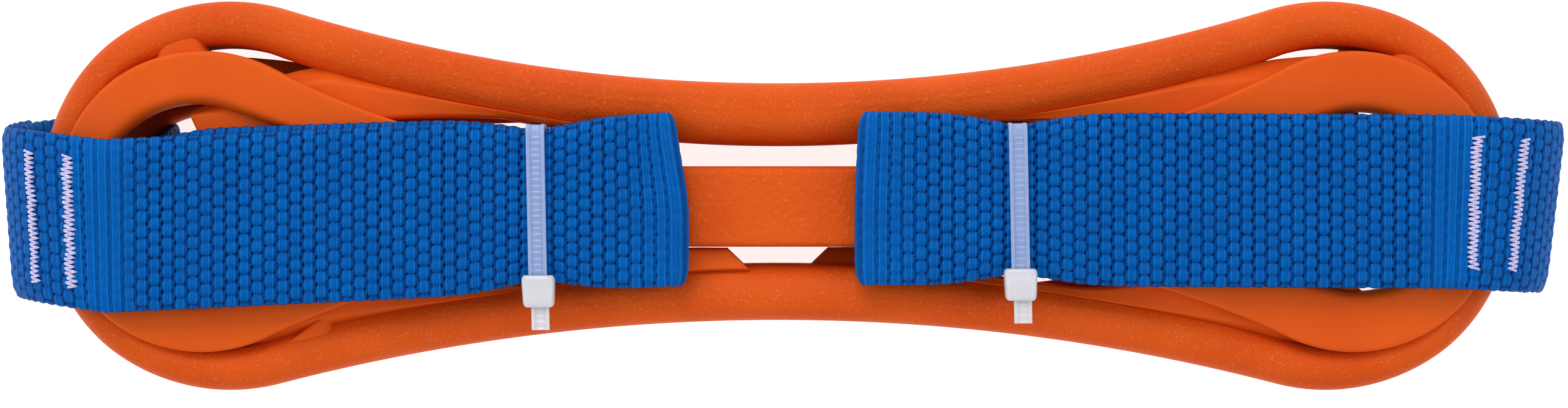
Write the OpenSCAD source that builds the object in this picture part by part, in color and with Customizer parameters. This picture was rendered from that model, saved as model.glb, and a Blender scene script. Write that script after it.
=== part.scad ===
// Bone-shaped rubber tug toy with two folded webbing handles held by cable ties.
// It lies on its back: +X runs along the body, +Z points up out of the front face.
// The origin is under the middle, on the surface that the toy lies on.

/* [Body] */
// Distance from the middle of the body to the middle of each lobe
lobe_x = 83.5; // [83:0.1:84]
// Outer radius of a lobe
lobe_r = 29.7; // [29:0.1:30.5]
// Half width of the waist on the +Y side
waist_top = 17.2; // [16:0.1:18.5]
// Half width of the waist on the -Y side
waist_bottom = 19; // [18:0.1:20]
// Thickness of the outer rim
rim_t = 20; // [19:0.5:20]
// Thickness of the body over the front and back loops
body_t = 22; // [22:0.5:23]
// Thickness of one loop
loop_t = 6; // [5:0.25:6.25]

/* [Loops] */
// Distance from the middle of the body to the middle of each loop
loop_x = 87.4; // [86:0.1:88]
// Outer radius of a loop
loop_r = 22.9; // [22:0.1:23.2]
// Radius of the round end of each loop's hole
hole_r = 14.8; // [14.6:0.1:15.5]
// Half length of the straight stretch of the centre bar
bar_half = 17; // [16:1:20]
// Height of the centre bar's +Y edge
bar_top = 4.5; // [4:0.1:5]
// Height of the centre bar's -Y edge
bar_bottom = -7.8; // [-8:0.1:-7]

/* [Webbing] */
// Width of the webbing
web_w = 25.4; // [24:0.1:26]
// Thickness of the webbing
web_t = 1.9; // [1.5:0.1:2]
// Reach of the left handle past the middle of the body
left_reach = 119.7; // [119:0.1:122]
// Reach of the right handle past the middle of the body
right_reach = 121.4; // [119:0.1:122]
// Distance from the middle to the folded end of the left handle
left_fold = 13.6; // [12:0.1:15]
// Distance from the middle to the folded end of the right handle
right_fold = 11.8; // [11:0.1:15]

/* [Cable ties] */
// Distance from the middle to each tie
tie_x = 36.3; // [34:0.1:40]
// Width of a tie's band
tie_w = 2.8; // [2.5:0.1:3]
// Thickness of a tie's band
tie_t = 1.1; // [0.9:0.1:1.2]
// Side of a tie's head
head_w = 5; // [4.5:0.1:5.5]

/* [Hidden] */

orange = "#e4570f";
smooth_orange = "#d9541b";
blue = "#0a55a8";
thread = "#d8d4f0";
nylon = "#dfe3f2";

arc_step = 4;                        // degrees between the points of an arc
body_back = web_t + 0.3;             // the body's back stands on the webbing
mid_z = body_back + body_t / 2;      // plane on which the two halves of the body mirror
front_z = body_back + body_t;        // front face of the loops
ribbon_to = 9;                       // height of a ribbon's face above the middle plane
loop_y = -0.9;                       // the loops and the bar lie this far off the middle line
rim_steps = [                        // rim slabs: from, to, outer inset, inner inset
    [0, 3.8, 0, 0], [3.8, 7.4, 0.5, -1.2], [7.4, rim_t / 2, 1.9, -2.8]
];
rim_lobe_r = 22.9;                   // inner radius of the rim round a lobe
rim_lobe_x = lobe_x + 1.3;
rim_waist_top = 7.7;                 // inner edge of the rim at the waist, +Y side
rim_waist_bottom = 10.4;

// Points of an arc about c, from angle a to angle b, either way round.
function arc(c, r, a, b) =
    let (n = max(1, ceil(abs(b - a) / arc_step)))
    [for (i = [0 : n]) let (t = a + (b - a) * i / n) [c[0] + r * cos(t), c[1] + r * sin(t)]];

// Radius of the hollow arc that meets a lobe of radius r at (x, y) and a level line at height w,
// where the arc touches that line at x = s.
function hollow_r(x, y, r, w, s) = ((x - s) * (x - s) + (w - y) * (w - y) - r * r) / (2 * (r - w + y));

// One quarter of a bone outline: hollow arc from the waist out to the lobe, then round the lobe's end.
function quarter(x, y, r, w, s) =
    let (
        h = hollow_r(x, y, r, w, s),
        turn = atan2(w + h - y, x - s)
    )
    concat(arc([s, w + h], h, 270, 360 - turn), arc([x, y], r, 180 - turn, 0));

// The outline without points that repeat their neighbour.
function tidy(p) = [for (i = [0 : len(p) - 1]) if (norm(p[i] - p[(i + 1) % len(p)]) > 0.01) p[i]];

function flip_x(p) = [for (i = [len(p) - 1 : -1 : 0]) [-p[i][0], p[i][1]]];
function flip_y(p) = [for (i = [len(p) - 1 : -1 : 0]) [p[i][0], -p[i][1]]];

// Whole bone outline: lobes at +-x and height y, hollow arcs down to top and bottom.
function bone(x, y, r, top, bottom, s) =
    let (
        up = quarter(x, y, r, top, s),
        down = flip_y(quarter(x, -y, r, bottom, s))
    )
    concat(up, down, flip_x(down), flip_x(up));

// Smooth curve through a few points, with k steps between each pair.
function blend4(a, b, c, d, t) =
    0.5 * (2 * b + (c - a) * t + (2 * a - 5 * b + 4 * c - d) * t * t + (3 * b - a - 3 * c + d) * t * t * t);
function curve(p, k = 6) =
    let (n = len(p))
    [for (i = [0 : n - 2]) for (j = [0 : (i == n - 2 ? k : k - 1)])
        blend4(p[max(i - 1, 0)], p[i], p[i + 1], p[min(i + 2, n - 1)], j / k)];

function rim_outline(inset) =
    bone(lobe_x, 0, lobe_r - inset, waist_top - inset, waist_bottom - inset, 0);
function rim_hole_outline(inset) =
    bone(rim_lobe_x, 0, rim_lobe_r - inset, rim_waist_top - inset, rim_waist_bottom - inset, 0);

// A slab with the given outline between two heights above the middle plane.
module slab(outline, from, to) {
    translate([0, 0, mid_z + from]) linear_extrude(to - from) polygon(tidy(outline));
}

// The same, with a hole right through it.
module ring_slab(outline, hole, from, to) {
    a = tidy(outline);
    b = tidy(hole);
    translate([0, 0, mid_z + from]) linear_extrude(to - from)
        polygon(concat(a, b), [[for (i = [0 : len(a) - 1]) i], [for (i = [0 : len(b) - 1]) len(a) + i]]);
}

// Puts its children on the back of the body: a half turn about the Y axis through the middle.
module on_back() {
    translate([0, 0, 2 * mid_z]) rotate([0, 180, 0]) children();
}

loop_from = body_t / 2 - loop_t;     // the loops' height above the middle plane
loop_to = body_t / 2;

// Side view that trims the body: level to dome_x, then falling away towards the ends of the lobes.
dome_x = 97;
dome_drop = 5.5;
dome_length = lobe_x + lobe_r - dome_x;
dome_points = 6;
function dome_side() = [for (i = [0 : dome_points]) let (u = i / dome_points)
    [dome_x + u * dome_length, body_t / 2 - dome_drop * u * u]];
module domed() {
    half = dome_side();
    intersection() {
        children();
        translate([0, 60, mid_z]) rotate([90, 0, 0]) linear_extrude(120)
            polygon(tidy(concat(half, flip_y(half), flip_x(flip_y(half)), flip_x(half))));
    }
}

function figure_outline() = bone(loop_x, loop_y, loop_r, bar_top, -bar_bottom, bar_half);

// Tear-shaped hole of the right loop: round outside, drawn to a narrow tip towards the waist.
hole_tip_x = 46;
hole_tip_r = 1.8;
function hole_outline() =
    let (
        x = loop_x + 1,
        tip_y = (bar_top + bar_bottom) / 2,
        lean = acos((hole_r - hole_tip_r) / (x - hole_tip_x))
    )
    concat(arc([x, loop_y], hole_r, lean - 180, 180 - lean), arc([hole_tip_x, tip_y], hole_tip_r, 180 - lean, 180 + lean));

module right_loop() {
    color(smooth_orange) domed() difference() {
        slab(figure_outline(), loop_from, loop_to);
        slab(hole_outline(), loop_from - 1, loop_to + 1);
        translate([-150 + bar_half, -50, 0]) cube([150, 100, 50]);
    }
}

module left_loop() {
    mirror([1, 0, 0]) right_loop();
}

module front_right_loop() { right_loop(); }
module front_left_loop() { left_loop(); }
module back_right_loop() { on_back() left_loop(); }
module back_left_loop() { on_back() right_loop(); }

module centre_bar() {
    color(orange) translate([-bar_half, bar_bottom, body_back])
        cube([2 * bar_half, bar_top - bar_bottom, body_t]);
}

// The rim: slabs that widen towards the middle plane, cleared where the loops run into it.
module rim_half() {
    for (s = rim_steps)
        ring_slab(rim_outline(s[2]), rim_hole_outline(s[3]), s[0], s[1]);
}

module outer_rim() {
    color(orange) domed() difference() {
        union() {
            rim_half();
            on_back() rim_half();
        }
        slab(figure_outline(), loop_from, loop_to + 1);
        on_back() slab(figure_outline(), loop_from, loop_to + 1);
    }
}

// A ribbon's outline: its outer edge runs past the rim's inner wall, which trims it, and its inner edge is real.
function ribbon_outline(outer_edge, inner_edge) = concat(curve(outer_edge), curve(inner_edge));

upper_left = ribbon_outline(
    [[-28, 14], [-45, 22], [-58, 20.3], [-66, 20], [-74, 18.9], [-84, 15.4], [-89.7, 12.8]],
    [[-88, 9], [-84, 4], [-76, 8], [-66, 10.5], [-56, 11.8], [-40, 11.9], [-28, 9.8]]);
upper_right = ribbon_outline(
    [[94, 17], [86, 21], [77.3, 21], [62, 19], [47, 22], [36, 19], [27.4, 14]],
    [[27.4, 10], [36, 11.4], [50, 10.8], [62, 8], [76, 4]]);
lower_left = ribbon_outline(
    [[-88, -8], [-84, -21], [-76, -25], [-62, -25], [-37, -22], [-3.8, -13.6]],
    [[-7.8, -8], [-18, -8.4], [-28, -12], [-36, -13.6], [-46, -12.6], [-58, -9], [-76, -4]]);
lower_right = ribbon_outline(
    [[28, -17], [39, -22], [50, -25], [58.7, -23.6], [64, -23.8], [70, -23.8], [84, -22], [92, -17]],
    [[76, -4], [62, -11.5], [50, -14], [40, -13.3], [28, -11.2]]);

// A ribbon on the front half of the body, under the loops.
module ribbon(outline) {
    color(smooth_orange) difference() {
        union() for (s = rim_steps)
            intersection() {
                slab(outline, s[0], min(s[1], ribbon_to));
                slab(rim_hole_outline(s[3]), s[0], s[1]);
            }
        slab(figure_outline(), loop_from, loop_to);
    }
}

module front_upper_left_ribbon() { ribbon(upper_left); }
module front_upper_right_ribbon() { ribbon(upper_right); }
module front_lower_left_ribbon() { ribbon(lower_left); }
module front_lower_right_ribbon() { ribbon(lower_right); }
module back_upper_left_ribbon() { on_back() ribbon(upper_right); }
module back_upper_right_ribbon() { on_back() ribbon(upper_left); }
module back_lower_left_ribbon() { on_back() ribbon(lower_right); }
module back_lower_right_ribbon() { on_back() ribbon(lower_left); }

// Spokes that tie a loop to the rim: angle round the lobe and width, for each lobe.
spoke_to = 7.2;                      // height of the spokes above the middle plane
spoke_l = 12;
left_spokes = [[93, 6.5], [133, 5.5], [229, 4.5], [297, 6]];
right_spokes = [[56, 7], [318, 5]];

module spokes(x, list) {
    for (s = list, level = [rim_steps[0], rim_steps[1]])
        difference() {
            intersection() {
                translate([x, loop_y, 0]) rotate([0, 0, s[0]])
                    translate([loop_r - spoke_l / 2, -s[1] / 2, mid_z + level[0]])
                    cube([spoke_l, s[1], min(level[1], spoke_to) - level[0]]);
                slab(rim_hole_outline(level[3]), level[0], level[1]);
            }
            slab(figure_outline(), 0, spoke_to + 1);
            slab(x < 0 ? lower_left : lower_right, -1, spoke_to + 1);
        }
}

module all_spokes() {
    spokes(-loop_x, left_spokes);
    spokes(loop_x, right_spokes);
}

module rim_spokes() {
    color(smooth_orange) domed() {
        all_spokes();
        on_back() all_spokes();
    }
}

// Webbing. A station is [x, z, y, w]: distance out from the middle, height, side shift and width.
// A handle's own numbers: reach, fold, and its side shift at the fold, at the bend and at the end.
left_web = [left_reach, left_fold, -0.5, -4.6, -2.2];
right_web = [right_reach, right_fold, -0.4, -0.9, -1.2];
bend_x = 101.5;                      // here the webbing starts to turn down over the end
lap = web_t + 0.3;                   // distance between two layers of webbing
under_b = mid_z - web_t / 2;         // half height of the inner layer about the middle plane
hole_x = 94.6;                       // the webbing runs down through the loops' holes here
turn_r = 2.4;                        // bend radius where it turns under the body
crease_r = 1.6;
pinch = 5.4;                         // how much narrower a tie makes the webbing
pinch_l = 8;
hinge_x = tie_x - tie_w / 2 - 0.7;   // the free end of a handle starts here
hinge_gap = 0.3;
step_x = 4;
under_z = mid_z + under_b;
over_z = under_z + lap;

function width_at(x) = web_w - pinch * exp(-pow((x - tie_x) / pinch_l, 2));
function mix(a, b, t) = a + (b - a) * t;
function over_y(h, x) = mix(h[2], h[3], (x - h[1]) / (bend_x - h[1]));
function under_y(h, x) = mix(h[2], loop_y, min(1, (x - h[1]) / (hole_x - h[1])));

// Half-ellipse round the outer end, from angle a to angle b: out = 0 inner layer, 1 outer layer.
function end_turn(h, out, a, b, proud = 0) =
    let (
        rx = h[0] - web_t / 2 - lap * (1 - out) - bend_x + proud,
        rz = under_b + lap * out + proud,
        n = ceil(abs(b - a) / 7.5)
    )
    [for (i = [0 : n]) let (t = mix(a, b, i / n))
        [bend_x + rx * cos(t), mid_z + rz * sin(t),
         t > 0 ? mix(h[4], h[3], t / 90) : mix(h[4], loop_y, -t / 90), web_w]];

function run(h, from, to, over) =
    let (n = ceil(abs(to - from) / step_x))
    [for (i = [0 : n]) let (x = mix(from, to, i / n))
        [x, over ? over_z : under_z, over ? over_y(h, x) : under_y(h, x), width_at(x)]];

function turn(h, c, r, a, b) = [for (p = arc(c, r, a, b)) [p[0], p[1], loop_y, web_w]];

// Inner end of the webbing: from the lap round the outer end, under the body, up through the hole.
function inner_path(h) = concat(
    [[bend_x - 1.5, under_z, h[3], web_w]],
    end_turn(h, 0, 90, -90),
    turn(h, [hole_x + turn_r, web_t / 2 + turn_r], turn_r, 270, 180),
    turn(h, [hole_x - crease_r, under_z - crease_r], crease_r, 0, 90),
    run(h, hole_x - crease_r - step_x, hinge_x, false));

// Outer end: along the top and down over the lap.
function outer_path(h) = concat(run(h, hinge_x, bend_x - step_x / 2, true), end_turn(h, 1, 90, -28));

function fold_path(h) =
    let (r = lap / 2, x = h[1] + web_t / 2 + r, from = hinge_x - hinge_gap)
    concat(
        run(h, from, x + 1, false),
        [for (p = arc([x, under_z + r], r, 270, 90)) [p[0], p[1], h[2], width_at(p[0])]],
        run(h, x + 1, from, true));

// A flat band swept along stations, t thick, with square ends.
module band(path, t) {
    n = len(path);
    function across(i) =
        let (
            a = path[max(i - 1, 0)],
            b = path[min(i + 1, n - 1)],
            d = [b[0] - a[0], b[1] - a[1]],
            l = norm(d)
        )
        [-d[1] / l * t / 2, d[0] / l * t / 2];
    points = [for (i = [0 : n - 1]) let (p = path[i], m = across(i), w = p[3] / 2) each [
        [p[0] + m[0], p[2] - w, p[1] + m[1]],
        [p[0] + m[0], p[2] + w, p[1] + m[1]],
        [p[0] - m[0], p[2] + w, p[1] - m[1]],
        [p[0] - m[0], p[2] - w, p[1] - m[1]]]];
    sides = [for (i = [0 : n - 2]) for (k = [0 : 3]) let (a = 4 * i + k, b = 4 * i + (k + 1) % 4)
        each [[a, a + 4, b], [b, a + 4, b + 4]]];
    ends = [[0, 1, 2], [0, 2, 3], [4 * n - 1, 4 * n - 2, 4 * n - 3], [4 * n - 1, 4 * n - 3, 4 * n - 4]];
    polyhedron(points, concat(sides, ends));
}

module handle(h) {
    color(blue) {
        band(inner_path(h), web_t);
        band(outer_path(h), web_t);
    }
}
module handle_end(h) {
    color(blue) band(fold_path(h), web_t);
}

// A row of zigzag stitches on the outer layer, centred at x.
stitch_l = 1.6;
stitch_w = 20;
stitch_t = 0.3;
stitch_gap = 0.06;                   // keeps the flat strips clear of the facets that they lie on
module stitch_row(h, x) {
    proud = web_t / 2 + stitch_t / 2 + stitch_gap;
    rx = h[0] - web_t / 2 - bend_x + proud;
    mid = acos((x - bend_x) / rx);
    half = stitch_l / 2 / rx * 180 / PI;
    color(thread) band([for (p = end_turn(h, 1, mid + half, mid - half, proud)) [p[0], p[1], p[2], stitch_w]], stitch_t);
}

module left_side() {
    mirror([1, 0, 0]) children();
}
module left_handle() { left_side() handle(left_web); }
module left_handle_end() { left_side() handle_end(left_web); }
module right_handle() { handle(right_web); }
module right_handle_end() { handle_end(right_web); }
module left_outer_stitches() { left_side() stitch_row(left_web, 113.7); }
module left_inner_stitches() { left_side() stitch_row(left_web, 107.2); }
module right_outer_stitches() { stitch_row(right_web, 112.6); }
module right_inner_stitches() { stitch_row(right_web, 104.8); }

// A cable tie round the webbing and a loop's arms: band, square head on the -Y side, cut tail.
tie_under = mid_z + loop_from - 0.2; // inside of the band, below the arms
tie_over = over_z + web_t / 2 + 0.15;
head_l = 4.8;
head_t = 4.4;
tail_l = 3.4;
tie_round = 0.4;

function round_box(x0, x1, y0, y1, r) = concat(
    arc([x1 - r, y1 - r], r, 0, 90), arc([x0 + r, y1 - r], r, 90, 180),
    arc([x0 + r, y0 + r], r, 180, 270), arc([x1 - r, y0 + r], r, 270, 360));

module cable_tie(x, low, high) {
    top = tie_over + tie_t;
    color(nylon) union() {
        translate([x - tie_w / 2, 0, 0]) rotate([90, 0, 90]) linear_extrude(tie_w) difference() {
            polygon(tidy(round_box(low - tie_t, high + tie_t, tie_under - tie_t, top, tie_round + tie_t)));
            polygon(tidy(round_box(low, high, tie_under, tie_over, tie_round)));
        }
        translate([x - head_w / 2, low - 0.1 - head_l, top + 0.4 - head_t])
            cube([head_w, head_l, head_t]);
        translate([x - tie_w / 2, low - 0.2 - head_l - tail_l, top - tie_t - 0.6])
            cube([tie_w, tail_l + 1, tie_t]);
    }
}
module left_cable_tie() { cable_tie(-tie_x, -11.9, 9.7); }
module right_cable_tie() { cable_tie(tie_x, -10.9, 9.9); }

outer_rim();
centre_bar();
front_left_loop();
front_right_loop();
back_left_loop();
back_right_loop();
front_upper_left_ribbon();
front_upper_right_ribbon();
front_lower_left_ribbon();
front_lower_right_ribbon();
back_upper_left_ribbon();
back_upper_right_ribbon();
back_lower_left_ribbon();
back_lower_right_ribbon();
rim_spokes();
left_handle();
left_handle_end();
right_handle();
right_handle_end();
left_outer_stitches();
left_inner_stitches();
right_outer_stitches();
right_inner_stitches();
left_cable_tie();
right_cable_tie();
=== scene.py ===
import bpy
import math
import numpy as np
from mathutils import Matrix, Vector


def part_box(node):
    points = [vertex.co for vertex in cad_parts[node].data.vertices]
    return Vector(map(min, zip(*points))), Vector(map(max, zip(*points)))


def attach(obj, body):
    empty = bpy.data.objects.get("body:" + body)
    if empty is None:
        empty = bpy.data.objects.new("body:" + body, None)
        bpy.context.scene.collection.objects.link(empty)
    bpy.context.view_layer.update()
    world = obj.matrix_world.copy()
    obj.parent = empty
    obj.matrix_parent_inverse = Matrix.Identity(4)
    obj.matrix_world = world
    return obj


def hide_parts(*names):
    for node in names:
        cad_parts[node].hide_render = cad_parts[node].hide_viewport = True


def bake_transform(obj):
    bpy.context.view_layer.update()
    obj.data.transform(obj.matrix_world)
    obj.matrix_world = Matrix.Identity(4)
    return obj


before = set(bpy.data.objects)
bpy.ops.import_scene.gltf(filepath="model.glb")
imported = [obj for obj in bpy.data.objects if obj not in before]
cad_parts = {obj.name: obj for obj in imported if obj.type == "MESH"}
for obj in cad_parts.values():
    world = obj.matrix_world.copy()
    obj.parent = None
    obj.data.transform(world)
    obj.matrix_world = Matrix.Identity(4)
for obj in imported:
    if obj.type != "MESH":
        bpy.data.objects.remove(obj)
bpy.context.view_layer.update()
mm = 0.001
tau = 2 * math.pi
draw = np.random.default_rng(11)
print("frame loaded")


# ---- places that the frame gives, in millimetres
def boxMm(node):
    low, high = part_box(node)
    return np.array(low) / mm, np.array(high) / mm


rimLow, rimHigh = boxMm("outer_rim")
loopLow, loopHigh = boxMm("front_right_loop")
barLow, barHigh = boxMm("centre_bar")
midZ = (rimLow[2] + rimHigh[2]) / 2
bodyHalf = barHigh[2] - midZ         # half the body's thickness over the loops
loopY = (loopLow[1] + loopHigh[1]) / 2


# ---- mesh helpers
# Joins closed tubes into one mesh. A tube is a grid of rings; an open one gets a flat cap at each end.
def buildPiece(name, tubes, material, nodes, body="toy"):
    allPoints, faces, allUv, allHeight = [], [], [], []
    start = 0
    for tube in tubes:
        points = tube["points"]
        rings, around = points.shape[:2]
        closed = tube.get("closed", False)
        row = np.arange(rings if closed else rings - 1)[:, None]
        column = np.arange(around)[None, :]
        nextRow, nextColumn = (row + 1) % rings, (column + 1) % around
        quads = np.stack([row * around + column, nextRow * around + column,
                          nextRow * around + nextColumn, row * around + nextColumn], -1).reshape(-1, 4)
        flat = points.reshape(-1, 3)
        a, b, c, d = (flat[quads[:, i]] - flat.mean(0) for i in range(4))
        volume = (np.cross(a, b) * c).sum() + (np.cross(a, c) * d).sum()
        if volume < 0:
            quads = quads[:, ::-1]
        faces += (quads + start).tolist()
        if not closed:
            caps = [list(range(around)), list(range(rings * around - 1, (rings - 1) * around - 1, -1))]
            if volume < 0:
                caps = [cap[::-1] for cap in caps]
            faces += [[start + i for i in cap] for cap in caps]
        allPoints.append(flat)
        allUv.append(tube["uv"].reshape(-1, 2) if "uv" in tube else flat[:, :2])
        allHeight.append(tube["height"].reshape(-1) if "height" in tube else np.ones(len(flat)))
        start += len(flat)
    mesh = bpy.data.meshes.new(name)
    mesh.from_pydata((np.concatenate(allPoints) * mm).tolist(), [], faces)
    mesh.polygons.foreach_set("use_smooth", np.ones(len(faces), bool))
    corner = np.zeros(len(mesh.loops), np.int32)
    mesh.loops.foreach_get("vertex_index", corner)
    layer = mesh.uv_layers.new(name="surface")
    layer.data.foreach_set("uv", (np.concatenate(allUv) * mm)[corner].astype(np.float32).reshape(-1))
    height = mesh.attributes.new("height", "FLOAT", "POINT")
    height.data.foreach_set("value", np.concatenate(allHeight).astype(np.float32))
    mesh.materials.append(material)
    mesh.update()
    piece = bpy.data.objects.new(name, mesh)
    bpy.context.collection.objects.link(piece)
    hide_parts(*nodes)
    if body:
        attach(piece, body)
    return piece


# Half turn about the Y axis through the middle: the body's back is its front turned so.
def onBack(points):
    return points * [-1, 1, -1] + [0, 0, 2 * midZ]


# Rises from 0 at low to 1 at high, level at both ends: three times the square less twice the cube.
def smoothStep(x, low, high):
    t = np.clip((x - low) / (high - low), 0, 1)
    return t * t * (3 - 2 * t)


# Closed superellipse ring of half sizes a and b: cosine and sine raised to the power 2/n.
def roundedRing(a, b, n, count):
    t = np.arange(count) / count * tau
    power = 2 / n
    return (a * np.sign(np.cos(t)) * np.abs(np.cos(t)) ** power,
            b * np.sign(np.sin(t)) * np.abs(np.sin(t)) ** power)


# Catmull-Rom curve through a few points, then spaced evenly along its length.
def evenCurve(chosen, count):
    p = np.array(chosen, float)
    p = np.concatenate([p[:1], p, p[-1:]])
    t = np.linspace(0, 1, 12, endpoint=False)[None, :, None]
    a, b, c, d = (p[i:len(p) - 3 + i, None] for i in range(4))
    line = 0.5 * (2 * b + (c - a) * t + (2 * a - 5 * b + 4 * c - d) * t ** 2
                  + (3 * b - a - 3 * c + d) * t ** 3)
    return evenly(np.concatenate([line.reshape(-1, 2), p[-1:]]), count)


# The same line with its points spaced evenly along its length.
def evenly(line, count):
    length = np.concatenate([[0], np.cumsum(np.linalg.norm(np.diff(line, axis=0), axis=1))])
    at = np.linspace(0, length[-1], count)
    return np.stack([np.interp(at, length, line[:, i]) for i in range(line.shape[1])], 1)


# Unit normals of a closed outline that runs clockwise, pointing out of it.
def outwardNormals(line):
    step = np.roll(line, -1, axis=0) - np.roll(line, 1, axis=0)
    normal = np.stack([-step[:, 1], step[:, 0]], 1)
    return normal / np.linalg.norm(normal, axis=1)[:, None]


# One side of a bone outline, clockwise from the waist's +Y line to its -Y line: a hollow arc that touches
# the line at s and the lobe of radius r at (x, y), the lobe itself, and a hollow arc back.
def boneSide(x, y, r, top, bottom, s, hollowSteps, lobeSteps):
    def quarter(y, w):
        h = ((x - s) ** 2 + (w - y) ** 2 - r * r) / (2 * (r - w + y))
        turn = math.atan2(w + h - y, x - s)
        a = np.linspace(0.75 * tau, tau - turn, hollowSteps)
        b = np.linspace(tau / 2 - turn, 0, lobeSteps)
        hollow = np.stack([s + h * np.cos(a), w + h + h * np.sin(a)], 1)
        lobe = np.stack([x + r * np.cos(b), y + r * np.sin(b)], 1)
        return np.concatenate([hollow[:-1], lobe])
    upper = quarter(y, top)
    lower = quarter(-y, bottom) * [1, -1]
    return np.concatenate([upper[:-1], lower[::-1]])


# The whole closed outline: the right side, then the same side mirrored in the Y axis and run backwards.
def boneOutline(x, y, r, top, bottom, hollowSteps, lobeSteps):
    side = boneSide(x, y, r, top, bottom, 0, hollowSteps, lobeSteps)
    return np.concatenate([side[:-1], (side * [-1, 1])[::-1][:-1]])


# The body is level out to the dome, then its half thickness falls with the square of the distance.
dome = {"from": 97, "drop": 5.5}


def domeHalf(x):
    share = np.clip((np.abs(x) - dome["from"]) / (rimHigh[0] - dome["from"]), 0, 1)
    return bodyHalf - dome["drop"] * share ** 2


# ---- materials
# sRGB hex to the linear colour that the shader takes
def linear(hexColour):
    channels = [int(hexColour[i:i + 2], 16) / 255 for i in (1, 3, 5)]
    return [c / 12.92 if c <= 0.04045 else ((c + 0.055) / 1.055) ** 2.4 for c in channels] + [1]


# Adds one node: settings are its properties, and inputs are values or sockets to link from.
def addNode(tree, kind, inputs=(), **settings):
    node = tree.nodes.new("ShaderNode" + kind)
    for key, value in settings.items():
        setattr(node, key, value)
    for key, value in dict(inputs).items():
        if isinstance(value, bpy.types.NodeSocket):
            tree.links.new(value, node.inputs[key])
        else:
            node.inputs[key].default_value = value
    return node


# A material with its main shader, and the values that are the same all over it.
def newMaterial(name, **values):
    material = bpy.data.materials.new(name)
    material.use_nodes = True
    tree = material.node_tree
    shader = tree.nodes["Principled BSDF"]
    for key, value in values.items():
        shader.inputs[key.replace("_", " ")].default_value = value
    return material, tree, shader


# Mixes two colours by a factor socket.
def mixColour(tree, factor, a, b):
    return addNode(tree, "Mix", {0: factor, 6: a, 7: b}, data_type="RGBA").outputs[2]


# Stretches a value from one range to another.
def rangeOf(tree, value, low, high, toLow, toHigh):
    return addNode(tree, "MapRange", {0: value, 1: low, 2: high, 3: toLow, 4: toHigh}).outputs[0]


# Injection-moulded thermoplastic rubber: soft gloss broken by the mould's spark-eroded grain. The grain is
# about 0.1 mm on the real part and is drawn 0.3 to 0.5 mm so that it shows; cloud is the colour's slow drift,
# and pale orange specks on the grain are painted glints.
def mouldedRubber(name, colour, shade, grain, depth, roughness, pebble):
    material, tree, shader = newMaterial(
        name, IOR=1.5, Subsurface_Weight=0.12, Subsurface_Radius=(1, 0.22, 0.05),
        Subsurface_Scale=0.0025, Specular_IOR_Level=0.1)
    place = addNode(tree, "TexCoord").outputs["Object"]
    cloud = addNode(tree, "TexNoise", {"Vector": place, "Scale": 1 / (18 * mm), "Detail": 3})
    fine = addNode(tree, "TexNoise", {"Vector": place, "Scale": 1 / (grain * mm), "Detail": 2})
    cells = addNode(tree, "TexVoronoi", {"Vector": place, "Scale": 1 / (1.6 * grain * mm)})
    # painted glints: pale orange specks where the fine grain noise is high, as much as pebble
    paintedGlint = rangeOf(tree, fine.outputs[0], 0.6, 0.74, 0, pebble)
    tone = mixColour(tree, rangeOf(tree, cloud.outputs[0], 0.3, 0.7, 0, 1), linear(colour), linear(shade))
    tone = mixColour(tree, paintedGlint, tone, linear("#f0905a"))
    tree.links.new(tone, shader.inputs["Base Color"])
    rough = rangeOf(tree, fine.outputs[0], 0.3, 0.7, roughness - 0.07, roughness + 0.07)
    tree.links.new(rough, shader.inputs["Roughness"])
    relief = addNode(tree, "Math", {0: fine.outputs[0], 1: cells.outputs["Distance"]}, operation="ADD")
    bump = addNode(tree, "Bump", {"Height": relief.outputs[0], "Distance": depth * mm, "Strength": 0.9})
    tree.links.new(bump.outputs[0], shader.inputs["Normal"])
    return material


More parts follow.
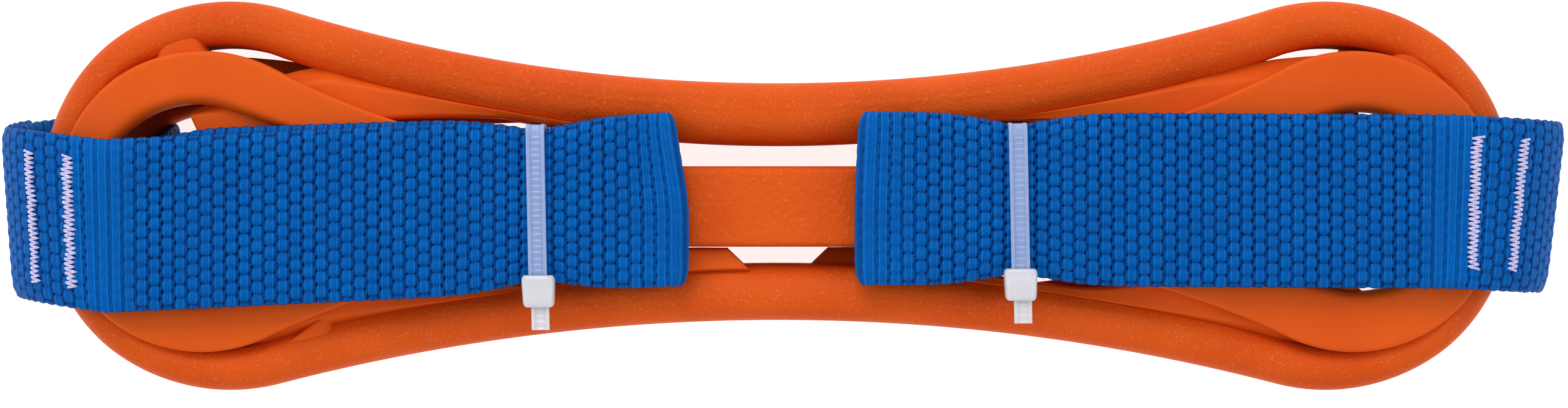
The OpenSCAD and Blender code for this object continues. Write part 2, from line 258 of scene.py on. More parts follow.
# Polyester webbing, plain woven from doubled yarns: satin ridges over dark gaps, with the sheen and the gaps'
# darkness painted into the colour. The pillows are in the mesh and painted lighter on top; the doubled yarn's
# line repeats at half the column pitch as a painted highlight, and its filaments are drawn 0.2 mm wide as
# painted sheen.
def wovenPolyester(pitch):
    material, tree, shader = newMaterial(
        "wovenPolyesterWebbing", IOR=1.52, Specular_IOR_Level=0.05)
    height = addNode(tree, "Attribute", attribute_name="height").outputs["Fac"]
    surface = addNode(tree, "UVMap", uv_map="surface").outputs[0]
    yarnLineAndHighlight = addNode(tree, "TexWave", {"Vector": surface, "Scale": tau / (pitch / 2 * mm) / 20,
                                     "Distortion": 0.6, "Detail Scale": 300}, bands_direction="X")
    stretch = addNode(tree, "Mapping", {"Vector": surface, "Scale": (5000, 900, 1)})
    fibreAndSheen = addNode(tree, "TexNoise", {"Vector": stretch.outputs[0], "Scale": 1, "Detail": 2})
    cloud = addNode(tree, "TexNoise", {"Vector": surface, "Scale": 1 / (9 * mm), "Detail": 2})
    # painted light and shade: pillow tops lighter, their sides darker, by the height
    body = mixColour(tree, rangeOf(tree, height, 0.2, 0.85, 0, 1), linear("#002a6c"), linear("#0058aa"))
    # painted highlight lines along the doubled yarns
    body = mixColour(tree, rangeOf(tree, yarnLineAndHighlight.outputs[1], 0.55, 1, 0, 0.6), body, linear("#0072c8"))
    # painted sheen along the filaments
    body = mixColour(tree, rangeOf(tree, fibreAndSheen.outputs[0], 0.5, 0.8, 0, 0.35), body, linear("#048ae0"))
    # painted shade in the gaps between the pillows
    body = mixColour(tree, rangeOf(tree, height, 0.15, 0.55, 0.9, 0), body, linear("#011a4a"))
    body = mixColour(tree, rangeOf(tree, cloud.outputs[0], 0.35, 0.7, 0, 0.25), body, linear("#064089"))
    tree.links.new(body, shader.inputs["Base Color"])
    rough = rangeOf(tree, fibreAndSheen.outputs[0], 0.3, 0.7, 0.42, 0.6)
    tree.links.new(rough, shader.inputs["Roughness"])
    relief = addNode(tree, "Math", {0: yarnLineAndHighlight.outputs[1], 1: fibreAndSheen.outputs[0]}, operation="ADD")
    bump = addNode(tree, "Bump", {"Height": relief.outputs[0], "Distance": 0.09 * mm, "Strength": 0.8})
    tree.links.new(bump.outputs[0], shader.inputs["Normal"])
    return material


# Spun polyester sewing thread: matt, near white, with a twist drawn 0.3 mm long.
def spunThread():
    material, tree, shader = newMaterial("spunPolyesterThread", IOR=1.52, Roughness=0.7, Sheen_Weight=0.3)
    place = addNode(tree, "TexCoord").outputs["Object"]
    fine = addNode(tree, "TexNoise", {"Vector": place, "Scale": 1 / (0.3 * mm), "Detail": 2})
    lit = rangeOf(tree, fine.outputs[0], 0.35, 0.65, 0, 1)
    tone = mixColour(tree, lit, linear("#a79fd6"), linear("#dcd6f2"))
    tree.links.new(tone, shader.inputs["Base Color"])
    bump = addNode(tree, "Bump", {"Height": fine.outputs[0], "Distance": 0.1 * mm})
    tree.links.new(bump.outputs[0], shader.inputs["Normal"])
    return material


# Natural nylon 6/6, moulded: milky and half clear. The cloth's blue showing through the thin band is painted
# into its colour, and the head is painted near white.
def naturalNylon():
    material, tree, shader = newMaterial(
        "mouldedNaturalNylon", IOR=1.53, Transmission_Weight=0.35, Subsurface_Weight=0.3,
        Subsurface_Radius=(1, 1, 1), Subsurface_Scale=0.001)
    place = addNode(tree, "TexCoord").outputs["Object"]
    cloud = addNode(tree, "TexNoise", {"Vector": place, "Scale": 1 / (2.5 * mm), "Detail": 3})
    thickPart = addNode(tree, "Attribute", attribute_name="height").outputs["Fac"]
    # painted see-through blue on the thin band, drifting a little; the head and tail, where the height is 1,
    # are painted near white
    tone = mixColour(tree, cloud.outputs[0], linear("#9ab6ec"), linear("#b6caf4"))
    tone = mixColour(tree, thickPart, tone, linear("#f4f3fb"))
    tree.links.new(tone, shader.inputs["Base Color"])
    rough = rangeOf(tree, cloud.outputs[0], 0.3, 0.7, 0.24, 0.36)
    tree.links.new(rough, shader.inputs["Roughness"])
    return material


columnPitch = 1.93
# The last number sets how many painted glints the grain gets: most on the rim, fewest on the smooth loops.
rimRubber = mouldedRubber("grainedRimRubber", "#d95714", "#cc4a0c", 0.35, 0.07, 0.52, 0.4)
barRubber = mouldedRubber("pebbledBarRubber", "#d95714", "#cb490b", 0.5, 0.13, 0.5, 0.22)
loopRubber = mouldedRubber("smoothLoopRubber", "#dd5a17", "#d65212", 0.3, 0.012, 0.5, 0.05)
webbing = wovenPolyester(columnPitch)
thread = spunThread()
nylon = naturalNylon()
print("materials made")

# ---- outer rim
# The section is upright on both sides, with a quarter round outside, a narrow crest, and a quarter ellipse
# inside that is deeper than it is wide.
rimShape = {"waistTop": 17.2, "waistBottom": 19, "holeRadius": 22.9, "holeShift": 1.3, "holeTop": 7.7,
            "holeBottom": 10.4, "outerRound": 2.9, "outerShare": 0.42, "innerSlope": 5, "innerShare": 0.52,
            "slopeDepth": 1.25, "crown": 0.05, "sunk": 0.3, "underDome": 0.8,
            "hollowSteps": 90, "lobeSteps": 70, "roundSteps": 10, "crestSteps": 6}
lobeRadius = (rimHigh[1] - rimLow[1]) / 2
lobeX = rimHigh[0] - lobeRadius
rimHalf = rimHigh[2] - midZ
rimHoleX = lobeX + rimShape["holeShift"]


# Rings of points across the rim: outer side, crest, inner side and base, each side down and then up again.
def makeRim():
    s = rimShape
    sides = 2 * s["roundSteps"]
    crestEnd = sides + s["crestSteps"]
    steps = (s["hollowSteps"], s["lobeSteps"])
    outer = boneOutline(lobeX, 0, lobeRadius, s["waistTop"], s["waistBottom"], *steps)
    inner = boneOutline(rimHoleX, 0, s["holeRadius"], s["holeTop"], s["holeBottom"], *steps)
    width = np.linalg.norm(outer - inner, axis=1)[:, None]
    outerNormal, innerNormal = outwardNormals(outer), outwardNormals(inner)
    outerRound = np.minimum(s["outerRound"], s["outerShare"] * width)
    innerSlope = np.minimum(s["innerSlope"], s["innerShare"] * width)
    turn = np.linspace(0, math.pi / 2, s["roundSteps"])
    curl, rise = (1 - np.cos(turn))[None, :], (1 - np.sin(turn))[None, :]
    outerInset = outerRound * np.concatenate([curl[:, ::-1], curl], 1)
    innerInset = innerSlope * np.concatenate([curl[:, ::-1], curl], 1)
    outerSide = outer[:, None] - outerNormal[:, None] * outerInset[..., None]
    innerSide = inner[:, None] + innerNormal[:, None] * innerInset[..., None]
    across = np.linspace(0, 1, s["crestSteps"] + 2)[1:-1]
    crest = outerSide[:, -1:] + (innerSide[:, :1] - outerSide[:, -1:]) * across[None, :, None]
    base = outerSide[:, :1] + (innerSide[:, -1:] - outerSide[:, :1]) * across[::-1][None, :, None]
    plan = np.concatenate([outerSide, crest, innerSide, base], 1)
    crestWidth = np.linalg.norm(innerSide[:, 0] - outerSide[:, -1], axis=1)[:, None]
    half = np.minimum(rimHalf - s["sunk"], domeHalf(plan[..., 0]) - s["underDome"])
    outerHalf, innerHalf = half[:, :sides], half[:, crestEnd:crestEnd + sides]
    outerRise = outerHalf - outerRound * np.concatenate([rise[:, ::-1], rise], 1)
    innerRise = innerHalf - innerSlope * s["slopeDepth"] * np.concatenate([rise[:, ::-1], rise], 1)
    swell = s["crown"] * crestWidth * (np.sin(across * math.pi) ** 2)[None, :]
    upward = np.repeat([-1.0, 1.0], s["roundSteps"])
    z = midZ + np.concatenate([outerRise * upward, half[:, sides:crestEnd] + swell,
                               innerRise * -upward, -half[:, crestEnd + sides:] - swell], 1)
    points = np.concatenate([plan, z[..., None]], -1)
    buildPiece("outerRim", [{"points": points, "closed": True}], rimRubber, ["outer_rim"])


makeRim()
print("rim made")

# ---- loops and centre bar
# A loop is a ring between the bone-shaped outer line and a tear-shaped hole: crisp outside, rolled inside.
loopShape = {"leftHole": 14.8, "rightHole": 13.6, "holeShift": 1, "tipX": 46, "tipRadius": 1.8,
             "barHalf": barHigh[0] - 0.7, "thickness": 6, "edge": 0.7, "roll": 2.1, "sunk": 0.06,
             "hollowSteps": 60, "lobeSteps": 60, "endSteps": 24, "edgeSteps": 5, "rollSteps": 8,
             "faceSteps": 10}
loopRadius = (loopHigh[1] - loopLow[1]) / 2
loopX = loopHigh[0] - loopRadius


# The ring's outer and inner edges, as closed outlines with matching points that run clockwise.
def loopOutlines(holeRadius):
    s = loopShape
    side = boneSide(loopX, loopY, loopRadius, barHigh[1], -barLow[1], s["barHalf"],
                    s["hollowSteps"], s["lobeSteps"])
    climb = np.linspace(side[-1], side[0], s["endSteps"])[1:-1]
    outer = np.concatenate([side, climb])
    holeX = loopX + s["holeShift"]
    tipY = (barHigh[1] + barLow[1]) / 2
    lean = math.acos((holeRadius - s["tipRadius"]) / (holeX - s["tipX"]))
    around = np.linspace(math.pi - lean, lean - math.pi, 2 * s["lobeSteps"] - 1)
    bowl = np.stack([holeX + holeRadius * np.cos(around), loopY + holeRadius * np.sin(around)], 1)
    tipTurn = np.linspace(math.pi + lean, math.pi - lean, s["endSteps"])
    tip = np.stack([s["tipX"] + s["tipRadius"] * np.cos(tipTurn), tipY + s["tipRadius"] * np.sin(tipTurn)], 1)
    above = np.linspace(tip[-1], bowl[0], s["hollowSteps"])[:-1]
    below = np.linspace(bowl[-1], tip[0], s["hollowSteps"])[1:]
    return outer, np.concatenate([above, bowl, below, tip[1:-1]])


# Inset from an edge and height over a quarter round of radius r, from the wall to the face.
def quarterRound(r, count):
    t = np.linspace(0, math.pi / 2, count)
    return r * (1 - np.cos(t)), r * (np.sin(t) - 1)


# Rings across the loop, from the outer edge to the hole: small round, level face, roll, and back underneath.
def loopPoints(holeRadius):
    s = loopShape
    outer, inner = loopOutlines(holeRadius)
    ray = inner - outer
    width = np.linalg.norm(ray, axis=1)[:, None]
    edgeIn, edgeDown = quarterRound(s["edge"], s["edgeSteps"])
    rollIn, rollDown = quarterRound(s["roll"], s["rollSteps"])
    share = np.linspace(0, 1, s["faceSteps"] + 2)[1:-1]
    faceFrom, faceTo = s["edge"], width - s["roll"]
    face = faceFrom + (faceTo - faceFrom) * share[None, :]
    wide = np.ones_like(width)
    top = np.concatenate([wide * edgeIn, face, width - rollIn[::-1]], 1)
    topDown = np.concatenate([edgeDown, 0 * share, rollDown[::-1]])
    inset = np.concatenate([top, top[:, ::-1]], 1)
    plan = outer[:, None] + (ray / width)[:, None] * inset[..., None]
    half = domeHalf(plan[..., 0]) - s["sunk"]
    count = top.shape[1]
    z = np.empty(plan.shape[:2])
    z[:, :count] = midZ + half[:, :count] + topDown
    z[:, count:] = midZ + half[:, count:] - s["thickness"] - topDown[::-1]
    return np.concatenate([plan, z[..., None]], -1)


rightLoop = loopPoints(loopShape["rightHole"])
leftLoop = loopPoints(loopShape["leftHole"]) * [-1, 1, 1]
for nodeName, points in (("front_right_loop", rightLoop), ("front_left_loop", leftLoop),
                         ("back_right_loop", onBack(leftLoop)), ("back_left_loop", onBack(rightLoop))):
    words = nodeName.split("_")
    pieceName = words[0] + words[1].title() + words[2].title()
    buildPiece(pieceName, [{"points": points, "closed": True}], loopRubber, [nodeName])


# The bar is a rounded oblong section carried along X, with its ends pulled in by the same rounding.
barShape = {"squareness": 14, "around": 96, "stations": 60, "endRound": 0.04, "endPower": 40}


def makeBar():
    centre, half = (barLow + barHigh) / 2, (barHigh - barLow) / 2
    y, z = roundedRing(half[1], half[2], barShape["squareness"], barShape["around"])
    along = np.linspace(-1, 1, barShape["stations"])
    shrink = 1 - barShape["endRound"] * np.abs(along) ** barShape["endPower"]
    points = np.empty((len(along), len(y), 3))
    points[..., 0] = centre[0] + (half[0] * along)[:, None]
    points[..., 1] = centre[1] + y[None, :] * shrink[:, None]
    points[..., 2] = centre[2] + z[None, :] * shrink[:, None]
    buildPiece("centreBar", [{"points": points}], barRubber, ["centre_bar"])


makeBar()
print("loops and bar made")

# ---- ribbons
# A ribbon is a band between two curves. Its free edge is rolled over, and its other edge runs into the rim.
ribbonShape = {"top": 9, "roll": 1, "tilt": 0.5, "groove": 2.6, "grooveFrom": 0.72, "buried": 1.4,
               "underDome": 1, "narrowest": 0.45, "stations": 90, "rollSteps": 8, "faceSteps": 19}
ribbonEdges = {
    "upper_left": ([[-89.7, 12.8], [-84, 15.4], [-74, 18.9], [-66, 20], [-58, 20.3], [-45, 22], [-28, 14]],
                   [[-88, 9], [-84, 4], [-76, 8], [-66, 10.5], [-56, 11.8], [-40, 11.6], [-28, 9]]),
    "upper_right": ([[27.4, 14], [36, 19], [47, 22], [62, 19], [77.3, 21], [86, 21], [94, 17]],
                    [[27.4, 10], [36, 11.4], [50, 10.8], [62, 8], [76, 4]]),
    "lower_left": ([[-88, -8], [-84, -21], [-76, -25], [-62, -25], [-37, -22], [-3.8, -13.6]],
                   [[-76, -4], [-58, -9], [-46, -12.6], [-36, -13.6], [-28, -12], [-18, -8.4],
                    [-7.8, -8]]),
    "lower_right": ([[28, -17], [39, -22], [50, -25], [58.7, -23.6], [64, -23.8], [70, -23.8], [84, -22],
                     [92, -17]],
                    [[28, -11.2], [40, -13.3], [50, -14], [62, -11.5], [76, -4]])}


# Height of the rim's inner wall above or below the middle line, at each x.
def rimWall(x, sign):
    s = rimShape
    side = boneSide(rimHoleX, 0, s["holeRadius"], s["holeTop"], s["holeBottom"], 0,
                    s["hollowSteps"], s["lobeSteps"])
    half = side[side[:, 1] * sign > 0]
    half = half[np.argsort(half[:, 0])]
    return sign * np.interp(np.abs(x), half[:, 0], half[:, 1] * sign)


# Stations between the two edges, each a section of rolled free edge, tilted face with a groove by the rim,
# and a flat underside on the middle plane.
def ribbonPoints(outerEdge, innerEdge):
    s = ribbonShape
    outer = evenCurve(outerEdge, s["stations"])
    inner = evenCurve(innerEdge, s["stations"])
    sign = np.sign(outer[:, 1].mean())
    limit = np.abs(rimWall(outer[:, 0], sign)) + s["buried"]
    outer[:, 1] = sign * np.minimum(np.abs(outer[:, 1]), limit)
    ray = outer - inner
    width = np.linalg.norm(ray, axis=1)[:, None]
    rollIn, rollDown = quarterRound(s["roll"], s["rollSteps"])
    rollIn = np.minimum(rollIn, s["narrowest"] * width)
    share = np.linspace(0, 1, s["faceSteps"] + 1)[1:]
    rolled = rollIn[:, -1:]
    face = rolled + (width - rolled) * share[None, :]
    inset = np.concatenate([rollIn, face, width, 0 * width], 1)
    plan = inner[:, None] + (ray / width)[:, None] * inset[..., None]
    groove = s["groove"] * smoothStep(share, s["grooveFrom"], 1)
    top = midZ + s["top"] + np.concatenate([rollDown - s["tilt"], s["tilt"] * (share - 1) - groove])
    z = np.concatenate([top, [midZ, midZ]])[None, :] * np.ones_like(width)
    z = np.minimum(z, midZ + domeHalf(plan[..., 0]) - s["underDome"])
    return np.concatenate([plan, z[..., None]], -1)


for nodeName, edges in ribbonEdges.items():
    points = ribbonPoints(*edges)
    level, side = nodeName.split("_")
    other = {"left": "right", "right": "left"}[side]
    buildPiece("front" + level.title() + side.title() + "Ribbon", [{"points": points}], loopRubber,
               ["front_" + nodeName + "_ribbon"])
    buildPiece("back" + level.title() + other.title() + "Ribbon", [{"points": onBack(points)}], loopRubber,
               ["back_" + level + "_" + other + "_ribbon"])

# ---- spokes
# A spoke is a rounded block carried outwards from a loop to the rim, wider where it meets either.
# Each is given by its angle round the lobe in degrees, its width, and how far out it starts.
spokeShape = {"left": ((99, 7, 0), (129, 6, 0), (232, 5, 0), (307, 8.5, 3.5)),
              "right": ((62, 9, 0), (315, 6, 0)), "inner": -1.5, "reach": 8.5, "topIn": 8.8, "topOut": 9.3,
              "flare": 0.35, "insideRim": 1.8, "underDome": 0.9, "squareness": 5, "around": 28,
              "stations": 14}


def spokePoints(centreX, angle, width, start):
    s = spokeShape
    share = np.linspace(0, 1, s["stations"])
    x, z = roundedRing(0.5, 0.5, s["squareness"], s["around"])
    spread = width * (1 + s["flare"] * np.abs(2 * share - 1) ** 3)
    top = s["topIn"] + (s["topOut"] - s["topIn"]) * share
    out = loopRadius + start + s["inner"] + s["reach"] * share
    a = math.radians(angle)
    points = np.empty((len(share), len(x), 3))
    across = x[None, :] * spread[:, None]
    points[..., 0] = centreX + out[:, None] * math.cos(a) - across * math.sin(a)
    points[..., 1] = loopY + out[:, None] * math.sin(a) + across * math.cos(a)
    far = np.hypot(np.abs(points[..., 0]) - lobeX, points[..., 1])
    pull = np.minimum(1, (lobeRadius - s["insideRim"]) / far)
    points[..., 0] = np.sign(centreX) * (lobeX + (np.abs(points[..., 0]) - lobeX) * pull)
    points[..., 1] *= pull
    ceiling = np.minimum(top[:, None], domeHalf(points[..., 0]) - s["underDome"])
    points[..., 2] = midZ + ceiling * (z + 0.5)[None, :]
    return points


spokes = [spokePoints(-loopX, *spoke) for spoke in spokeShape["left"]]
spokes += [spokePoints(loopX, *spoke) for spoke in spokeShape["right"]]
buildPiece("rimSpokes", [{"points": p} for p in spokes] + [{"points": onBack(p)} for p in spokes],
           loopRubber, ["rim_spokes"])
print("ribbons and spokes made")

# ---- webbing handles
# x runs outwards from the middle on either side. A handle's line is drawn in x and z, and the width
# lies across it. Tilts are the turn of its folded ends, in millimetres per millimetre of width.
tieLow, tieHigh = boxMm("right_cable_tie")
tieX = (tieLow[0] + tieHigh[0]) / 2
strap = {"width": 25.4, "thick": 1.9, "layer": 2.2, "bendX": 101.5, "holeX": 94.6, "turn": 2.4, "crease": 1.6,
         "pinch": 3, "pinchLength": 8, "nip": 0.8, "nipLength": 2.2, "droop": 0.8, "relief": 0.8,
         "holePinch": 2.4, "rowPitch": 2.07, "along": 0.33,
         "topSteps": 92, "underSteps": 36, "lift": 0.03, "bulge": 0.28, "ripple": 0.2, "weaveMean": 0.62,
         "blendFrom": 35.8, "blendTo": 32.2, "holePinchLength": 6, "bendRib": 3.2, "foldRib": 5.5,
         "leanLength": 7, "tiltFrom": 92, "lapFlatten": 0.45}
handles = {
    "left": {"sign": -1, "reach": -boxMm("left_handle")[0][0], "fold": -boxMm("left_handle_end")[1][0],
             "foldY": -0.5, "bendY": -4.6, "endY": -2.2, "underY": -3.1, "bottomY": -0.4,
             "tilt": 0.075, "foldLean": 1.9,
             "rows": (("outer", 112.3), ("inner", 106.5))},
    "right": {"sign": 1, "reach": boxMm("right_handle")[1][0], "fold": boxMm("right_handle_end")[0][0],
              "foldY": -0.4, "bendY": -0.9, "endY": -1.9, "underY": -0.9, "bottomY": -0.9,
              "tilt": 0.12, "foldLean": 0.5,
              "rows": (("outer", 111.4), ("inner", 104.8))}}
underZ = 2 * midZ - strap["thick"] / 2           # the inner layer, as far above the middle as below it
overZ = underZ + strap["layer"]


# Part of an ellipse about (x, z), with half axes a and b, between two turns in degrees.
def arcLine(x, z, a, b, fromTurn, toTurn, count):
    t = np.radians(np.linspace(fromTurn, toTurn, count))
    return np.stack([x + a * np.cos(t), z + b * np.sin(t)], 1)


# Three stretches of a handle's line: round the end and up through the body to the tie, along the top
# from the tie and down over the lap, and the free end folded between the two ties' sides.
def handleLines(h):
    reach = h["reach"] - h["tilt"] * strap["width"] / 2
    half = underZ - midZ
    bend, crease, turn, hole = strap["bendX"], strap["crease"], strap["turn"], strap["holeX"]
    wide = reach - strap["thick"] / 2 - strap["layer"] - bend
    low = strap["thick"] / 2
    inner = np.concatenate([
        [[bend - 1.5, underZ]], arcLine(bend, midZ, wide, half, 90, -90, 60),
        arcLine(hole + turn, low + turn, turn, turn, 270, 180, 14),
        arcLine(hole - crease, underZ - crease, crease, crease, 0, 90, 12), [[tieX, underZ]]])
    outer = np.concatenate([
        [[tieX, overZ]],
        arcLine(bend, midZ, wide + strap["layer"], half + strap["layer"], 90, -28, 60)])
    r = strap["layer"] / 2
    foldX = h["fold"] + strap["thick"] / 2 + r
    free = np.concatenate([[[tieX, underZ]], arcLine(foldX, underZ + r, r, r, 270, 90, 18), [[tieX, overZ]]])
    return {"inner": inner, "outer": outer, "free": free, "reach": reach}


# Centre of the width: straight from the folded end to the bend on top, and to the hole underneath.
def sideShift(h, x, z):
    over = np.interp(x, [h["fold"], strap["bendX"], h["reach"]], [h["foldY"], h["bendY"], h["endY"]])
    under = np.interp(x, [h["fold"], strap["holeX"]], [h["foldY"], h["underY"]])
    rising = h["bottomY"] + (under - h["bottomY"]) * smoothStep(z, 1, underZ - 2)
    turning = np.interp(z, [0, midZ, underZ], [h["bottomY"], h["endY"], h["bendY"]])
    inner = np.where(x > strap["holeX"] + 0.1, turning, rising)
    loose = smoothStep(z, underZ + 0.2, overZ - 0.2)
    return inner + (over - inner) * np.where(x < strap["bendX"], loose, z > midZ)


# The weave: pillows on a lattice whose every other column is half a row over. The height is the highest
# of the nearest pillows, one less its squared distance; a rib share stretches them into one long ridge.
def weaveHeight(s, t, rib):
    column = np.round(s / columnPitch)
    best = np.full(np.broadcast(s, t).shape, -1.0)
    for step in (-1, 0, 1):
        k = column + step
        over = 0.5 * np.mod(k, 2)
        row = np.round(t / strap["rowPitch"] - over)
        ds = (s - k * columnPitch) / (0.58 * columnPitch)
        dt = (t - (row + over) * strap["rowPitch"]) / (0.56 * strap["rowPitch"])
        best = np.maximum(best, 1 - ds ** 2 - dt ** 2 * (1 - 0.8 * rib))
    return np.sqrt(np.clip(best, 0, 1))


# A closed band of webbing along a line: bumpy top face, bulged selvedges, and a flatter inner face.
def webbingTube(h, line, phase):
    length = np.linalg.norm(np.diff(line, axis=0), axis=1).sum()
    even = evenly(line, int(length / strap["along"]))
    x, z = even[:, 0], even[:, 1]
    s = np.linspace(0, length, len(even)) + phase
    heading = np.gradient(even, axis=0)
    heading /= np.linalg.norm(heading, axis=1)[:, None]
    pull = np.exp(-((x - tieX) / strap["pinchLength"]) ** 2)
    nip = np.exp(-((x - tieX) / strap["nipLength"]) ** 2)
    rising = (z < underZ + 0.5) * (z > strap["thick"])
    inHole = np.exp(-((x - strap["holeX"]) / strap["holePinchLength"]) ** 2) * rising
    narrow = strap["pinch"] * pull + strap["nip"] * nip + strap["holePinch"] * inHole
    half = (strap["width"] - narrow) / 2
    top = np.linspace(-1, 1, strap["topSteps"])
    under = np.linspace(1, -1, strap["underSteps"])
    q = np.concatenate([top, [1.0], under, [-1.0]])[None, :]
    face = np.concatenate([np.ones(len(top)), [0], -np.ones(len(under)), [0]])[None, :]
    bend = np.exp(-((x - strap["bendX"]) / strap["bendRib"]) ** 2) * (z > overZ - 2)
    foldRib = np.exp(-((x - h["fold"]) / strap["foldRib"]) ** 2)
    rib = np.clip(bend + foldRib, 0, 1)[:, None]
    flat = 1 - strap["lapFlatten"] * smoothStep(x, strap["bendX"] + 1, strap["bendX"] + 5)[:, None]
    across = q * strap["width"] / 2
    weave = weaveHeight(s[:, None], across, rib)
    selvedge = 1 - 0.55 * np.abs(q) ** 12
    relief = strap["relief"] * flat * (weave - strap["weaveMean"]) * (1 - np.abs(q) ** 16)
    thick = face * (strap["thick"] / 2 - 0.05) * selvedge + np.where(face > 0, relief, -0.2 * relief)
    ripple = strap["ripple"] * np.abs(np.cos(s[:, None] * math.pi / columnPitch)) * (np.abs(q) > 0.995)
    bulge = np.where(face == 0, strap["bulge"], 0) + ripple
    t = q * (half[:, None] + bulge)
    tilt = h["tilt"] * smoothStep(x, strap["tiltFrom"], h["reach"])[:, None] * t
    nearFold = np.exp(-((x - h["fold"]) / strap["leanLength"]) ** 2)[:, None]
    lean = h["foldLean"] * nearFold * smoothStep(t, -3, 13)
    droop = strap["droop"] * (pull[:, None] * np.abs(q) ** 3)
    points = np.empty((len(x), q.shape[1], 3))
    points[..., 0] = x[:, None] - heading[:, 1:2] * thick + tilt + lean
    points[..., 1] = sideShift(h, x, z)[:, None] + t
    points[..., 2] = np.maximum(z[:, None] + heading[:, 0:1] * thick - droop, strap["lift"])
    points[..., 0] *= h["sign"]
    uv = np.stack([s[:, None] + 0 * across, across + 0 * s[:, None]], -1)
    # The height also drives the webbing's painted light and shade: lighter pillow tops, darker gaps; the
    # selvedge sides get 0.35.
    height = np.where(face != 0, weave, 0.35)
    return {"points": points, "uv": uv, "height": height}


# Zigzag stitches: a round thread whose side step is a triangle wave, dipping into the cloth at each turn.
stitch = {"length": 20, "width": 1.6, "count": 28, "radius": 0.19, "perStitch": 12, "around": 8,
          "proud": 0.26, "dip": 0.4}


def stitchTube(h, line, rowX):
    count = stitch["count"] * stitch["perStitch"]
    share = np.linspace(0, 1, count + 1)
    wave = 2 * np.abs(2 * np.mod(share * stitch["count"], 1) - 1) - 1
    wander = np.interp(share, np.linspace(0, 1, 15), draw.normal(0, 0.12, 15))
    uneven = np.interp(share, np.linspace(0, 1, 57), draw.normal(1, 0.16, 57))
    t = stitch["length"] * (share - 0.5)
    even = evenly(line, 1200)
    heading = np.gradient(even, axis=0)
    heading /= np.linalg.norm(heading, axis=1)[:, None]
    top = even[:, 1] > midZ
    s = np.interp(rowX, even[top, 0], np.arange(len(even))[top])
    pace = np.linalg.norm(np.diff(even, axis=0), axis=1).mean()
    at = s + (wave * stitch["width"] / 2 * uneven + wander) / pace
    index = np.arange(len(even))
    x, z, hx, hz = (np.interp(at, index, v) for v in (even[:, 0], even[:, 1], heading[:, 0], heading[:, 1]))
    proud = strap["thick"] / 2 + stitch["proud"] - stitch["dip"] * np.abs(wave) ** 8
    tilt = h["tilt"] * smoothStep(x, strap["tiltFrom"], h["reach"]) * t
    line3 = np.stack([h["sign"] * (x - hz * proud + tilt), sideShift(h, x, z) + t, z + hx * proud], 1)
    ahead = np.gradient(line3, axis=0)
    ahead /= np.linalg.norm(ahead, axis=1)[:, None]
    normal = np.stack([-h["sign"] * hz, 0 * hz, hx], 1)
    sideways = np.cross(ahead, normal)
    sideways /= np.linalg.norm(sideways, axis=1)[:, None]
    upward = np.cross(sideways, ahead)
    around = np.arange(stitch["around"]) / stitch["around"] * tau
    radius = stitch["radius"] * (1 + 0.12 * np.sin(share * count * 2.1))[:, None, None]
    ring = np.cos(around)[None, :, None] * sideways[:, None] + np.sin(around)[None, :, None] * upward[:, None]
    return {"points": line3[:, None] + radius * ring}


for side, h in handles.items():
    lines = handleLines(h)
    tubes = [webbingTube(h, lines["inner"], 0), webbingTube(h, lines["outer"], 0.4)]
    buildPiece(side + "Handle", tubes, webbing, [side + "_handle"])
    freeEnd = buildPiece(side + "HandleEnd", [webbingTube(h, lines["free"], 1.1)], webbing,
                         [side + "_handle_end"], body=None)
    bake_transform(freeEnd)
    for row, rowX in h["rows"]:
        buildPiece(side + row.title() + "Stitches", [stitchTube(h, lines["outer"], rowX)], thread,
                   [side + "_" + row + "_stitches"])
print("handles and stitches made")

# ---- cable ties
# The band is a rounded oblong ring with two side rails and saw teeth between them, a square head with
# rounded corners on the -Y side, and a short cut tail that carries on the teeth.
tie = {"width": 2.8, "thick": 1.1, "corner": 1.6, "toothPitch": 0.95, "toothDepth": 0.24, "channel": 0.3,
       "headWidth": 5, "headLength": 4.8, "headDepth": 4.4, "lean": 0.02, "spacing": 0.15, "headProud": 0.4,
       "leftSpan": 23.8, "rightSpan": 23}
tailLength = tieHigh[1] - tie["rightSpan"] - tieLow[1]     # from the band's -Y side to the tail's end


# Offsets across the band and heights over its outer face: rails 0.5 wide and the channel between.
def bandSection(teeth):
    half = tie["width"] / 2
    rail = half - 0.5
    x = np.array([-half, -half + 0.12, -rail, -rail + 0.08, -0.3, 0.3, rail - 0.08, rail, half - 0.12, half])
    sunk = np.array([0, 0, 0, 1, 1, 1, 1, 0, 0, 0])
    edge = np.array([0.12, 0, 0, 0, 0, 0, 0, 0, 0, 0.12])
    outer = -edge[None, :] - sunk[None, :] * teeth[:, None]
    inner = np.full((len(teeth), 2), -tie["thick"])
    return np.concatenate([x, [half, -half]]), np.concatenate([outer, inner], 1)


# Depth of the channel's floor: a saw wave along the band.
def toothDepth(s):
    saw = np.mod(s / tie["toothPitch"], 1)
    return tie["channel"] - tie["toothDepth"] * saw ** 1.5


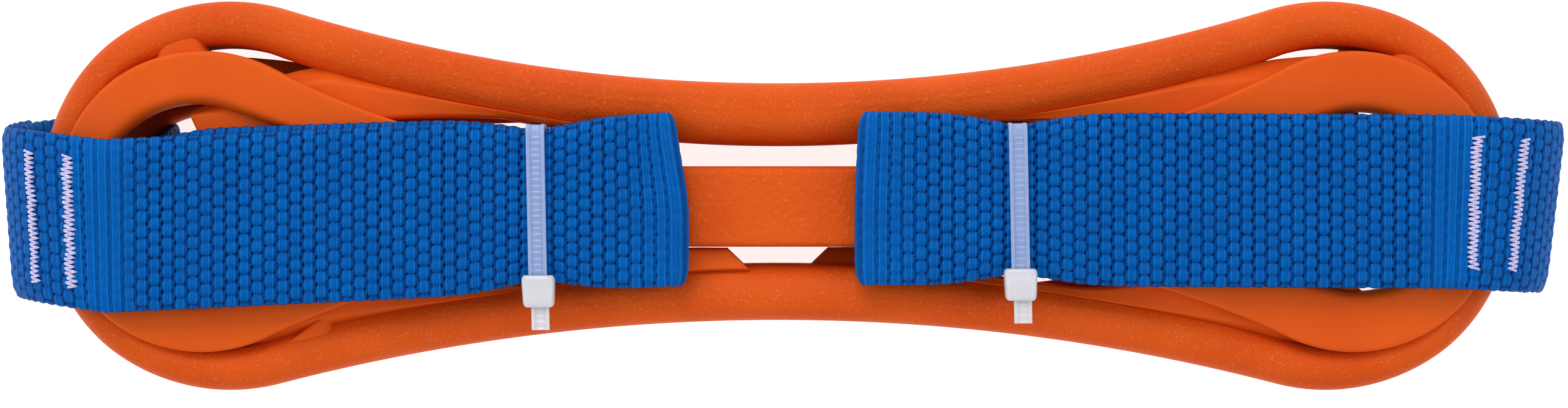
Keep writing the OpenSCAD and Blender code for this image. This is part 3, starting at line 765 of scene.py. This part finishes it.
# The band as a closed ring round the handle and bar, and the head and tail as open tubes along -Y.
def tieTubes(centreX, low, high, bottom, top):
    corner = tie["corner"]
    corners = ((high - corner, top - corner, 90, 0), (high - corner, bottom + corner, 0, -90),
               (low + corner, bottom + corner, -90, -180), (low + corner, top - corner, 180, 90))
    line = np.concatenate([arcLine(y, z, corner, corner, a, b, 9) for y, z, a, b in corners])
    line = np.concatenate([line, line[:1]])
    count = int(2 * (high - low + top - bottom) / tie["spacing"])
    ring = evenly(line, count + 1)[:-1]
    normal = outwardNormals(ring)
    s = np.arange(count) * tie["spacing"]
    x, out = bandSection(toothDepth(s))
    band = np.empty((count, len(x), 3))
    band[..., 1] = ring[:, None, 0] + normal[:, None, 0] * out
    band[..., 2] = ring[:, None, 1] + normal[:, None, 1] * out
    band[..., 0] = centreX + x[None, :] - tie["lean"] * band[..., 1]
    # Head: square rings along -Y, drawn in at both ends by the corner rounding and slightly tapered.
    share = np.linspace(0, 1, 22)
    pull = 1 - 0.16 * np.abs(2 * share - 1) ** 9
    ringX, ringZ = roundedRing(0.5, 0.5, 6, 40)
    head = np.empty((len(share), len(ringX), 3))
    headY = low + tie["thick"] - 0.1 - tie["headLength"] * share
    wide = tie["headWidth"] * (1.02 - 0.1 * share) * pull
    head[..., 0] = centreX - tie["lean"] * headY[:, None] + ringX[None, :] * wide[:, None]
    head[..., 1] = headY[:, None]
    deep = (tie["headDepth"] * pull)[:, None]
    head[..., 2] = top + tie["headProud"] - tie["headDepth"] / 2 + ringZ[None, :] * deep
    # Tail: the band's own section, straight on from the head.
    tailY = np.arange(headY[-1] + 0.6, low - tailLength, -tie["spacing"])
    x, out = bandSection(toothDepth(tailY))
    tail = np.empty((len(tailY), len(x), 3))
    tail[..., 0] = centreX + 0.25 + x[None, :] * 0.96 - tie["lean"] * tailY[:, None]
    tail[..., 1] = tailY[:, None]
    tail[..., 2] = top - tie["thick"] + 0.5 + out
    # Height 0 marks the thin band, which the nylon material paints with the cloth's blue showing through.
    thin = np.zeros(band.shape[:2])
    return [{"points": band, "closed": True, "height": thin}, {"points": head}, {"points": tail}]


for side, sign in (("left", -1), ("right", 1)):
    low, high = boxMm(side + "_cable_tie")
    tubes = tieTubes(sign * tieX, high[1] - tie[side + "Span"], high[1], low[2], high[2] - tie["headProud"])
    buildPiece(side + "CableTie", tubes, nylon, [side + "_cable_tie"])
print("cable ties made")

# ---- floor, light and camera
# Pale studio table that glows a little, as a lit sweep does.
stage = {"size": 3, "glow": 0.82, "tone": "#c8c8ca"}
floorMesh = bpy.data.meshes.new("studioFloor")
edge = stage["size"] / 2
corners = [(-edge, -edge, 0), (edge, -edge, 0), (edge, edge, 0), (-edge, edge, 0)]
floorMesh.from_pydata(corners, [], [(0, 1, 2, 3)])
floor = bpy.data.objects.new("studioFloor", floorMesh)
bpy.context.collection.objects.link(floor)
floorMaterial, tree, shader = newMaterial("paleStudioTable", Roughness=0.8, Emission_Strength=stage["glow"])
shader.inputs["Base Color"].default_value = linear(stage["tone"])
shader.inputs["Emission Color"].default_value = (1, 1, 1, 1)
floorMesh.materials.append(floorMaterial)

# Each light's place and side in metres, and its power in watts. All point at the toy.
lights = {"keySoftbox": ((-0.2, 0.85, 0.75), 0.6, 6), "rightSoftbox": ((0.9, 0.1, 0.9), 0.8, 3.2),
          "leftSoftbox": ((-0.95, 0.1, 0.8), 0.8, 3.2), "frontFill": ((0.1, -0.9, 0.8), 0.8, 1.6)}
for name, (place, size, power) in lights.items():
    lamp = bpy.data.lights.new(name, "AREA")
    lamp.shape = "SQUARE"
    lamp.size = size
    lamp.energy = power
    lampObject = bpy.data.objects.new(name, lamp)
    lampObject.location = place
    towards = -np.array(place)
    lampObject.rotation_euler = (math.atan2(math.hypot(towards[0], towards[1]), -towards[2]), 0,
                                 math.atan2(towards[1], towards[0]) - math.pi / 2)
    bpy.context.collection.objects.link(lampObject)

room = {"colour": (0.95, 0.97, 1, 1), "strength": 0.56}
world = bpy.data.worlds.new("softRoom")
bpy.context.scene.world = world
world.use_nodes = True
world.node_tree.nodes["Background"].inputs[0].default_value = room["colour"]
world.node_tree.nodes["Background"].inputs[1].default_value = room["strength"]

# The camera hangs straight over the toy, 600 mm above the middle of its thickness.
view = {"x": 0.94, "y": -1.27, "height": 600, "frameWidth": 242.1, "sensor": 36}
camera = bpy.data.cameras.new("topCamera")
camera.sensor_width = view["sensor"]
camera.lens = view["sensor"] * view["height"] / view["frameWidth"]
cameraObject = bpy.data.objects.new("topCamera", camera)
cameraObject.location = (view["x"] * mm, view["y"] * mm, (midZ + view["height"]) * mm)
bpy.context.collection.objects.link(cameraObject)
bpy.context.scene.camera = cameraObject
bpy.context.scene.view_settings.view_transform = "Standard"

print("scene made")
